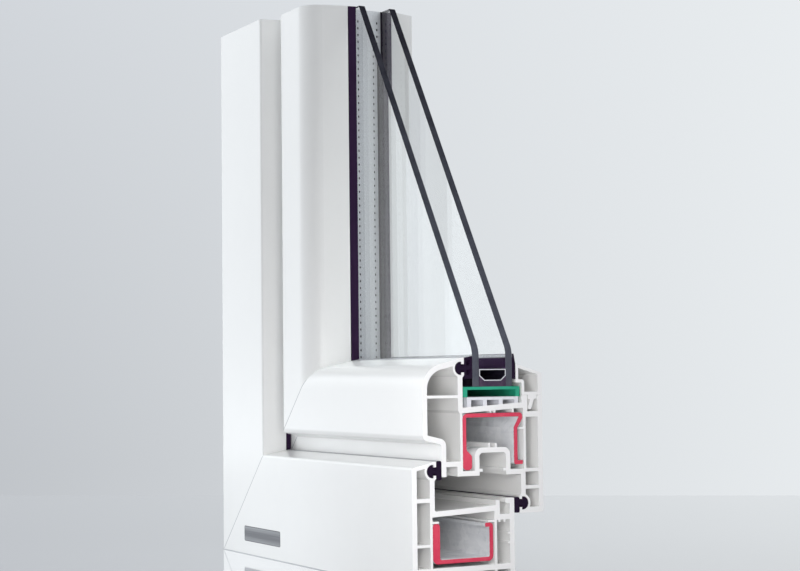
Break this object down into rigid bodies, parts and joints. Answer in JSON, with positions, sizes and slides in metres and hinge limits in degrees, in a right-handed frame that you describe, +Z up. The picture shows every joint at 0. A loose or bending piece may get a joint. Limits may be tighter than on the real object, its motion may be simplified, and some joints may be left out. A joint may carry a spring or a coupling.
{
  "type": "window frame profile section",
  "caption": "Cut corner sample of a white PVC casement window: chambered frame and sash with steel cores, seals, snap-in bead and a double glazed pane cut on the slant.",
  "frame": {"origin": "middle of the footprint of the whole sample, on the floor under the sill's feet", "axes": "+X along the sill from the outer corner towards its cut end, +Y from outdoors to the room, +Z up the jamb"},
  "size_m": [0.24, 0.078, 0.32],
  "materials": {
    "pvc": "smooth white extruded PVC, satin gloss",
    "zinc_steel": "galvanised sheet with red painted cut ends",
    "seal_rubber": "matt black rubber",
    "glass": "clear float glass with grey cut edges",
    "spacer_metal": "bright folded aluminium with two rows of pin holes",
    "sealant": "dark edge sealant",
    "green_plastic": "green moulded plastic",
    "pale_plastic": "pale grey moulded plastic"
  },
  "bodies": {
    "root": {"frame_sill": "pvc", "frame_jamb": "pvc", "frame_steel_sill": "zinc_steel", "frame_steel_jamb": "zinc_steel", "frame_seal_sill": "seal_rubber", "frame_seal_jamb": "seal_rubber", "sash_rail": "pvc", "sash_stile": "pvc", "sash_steel_rail": "zinc_steel", "sash_steel_stile": "zinc_steel", "sash_seal_rail": "seal_rubber", "sash_seal_stile": "seal_rubber", "glazing_seal_rail": "seal_rubber", "glazing_seal_stile": "seal_rubber", "outer_pane": "glass", "inner_pane": "glass", "spacer_rail": "spacer_metal", "spacer_stile": "spacer_metal", "sealant_rail": "sealant", "sealant_stile": "sealant", "bead_rail": "pvc", "bead_stile": "pvc", "bead_seal_rail": "seal_rubber", "bead_seal_stile": "seal_rubber", "setting_block": "green_plastic", "bridge_packer": "pale_plastic"}
  },
  "joints": []
}
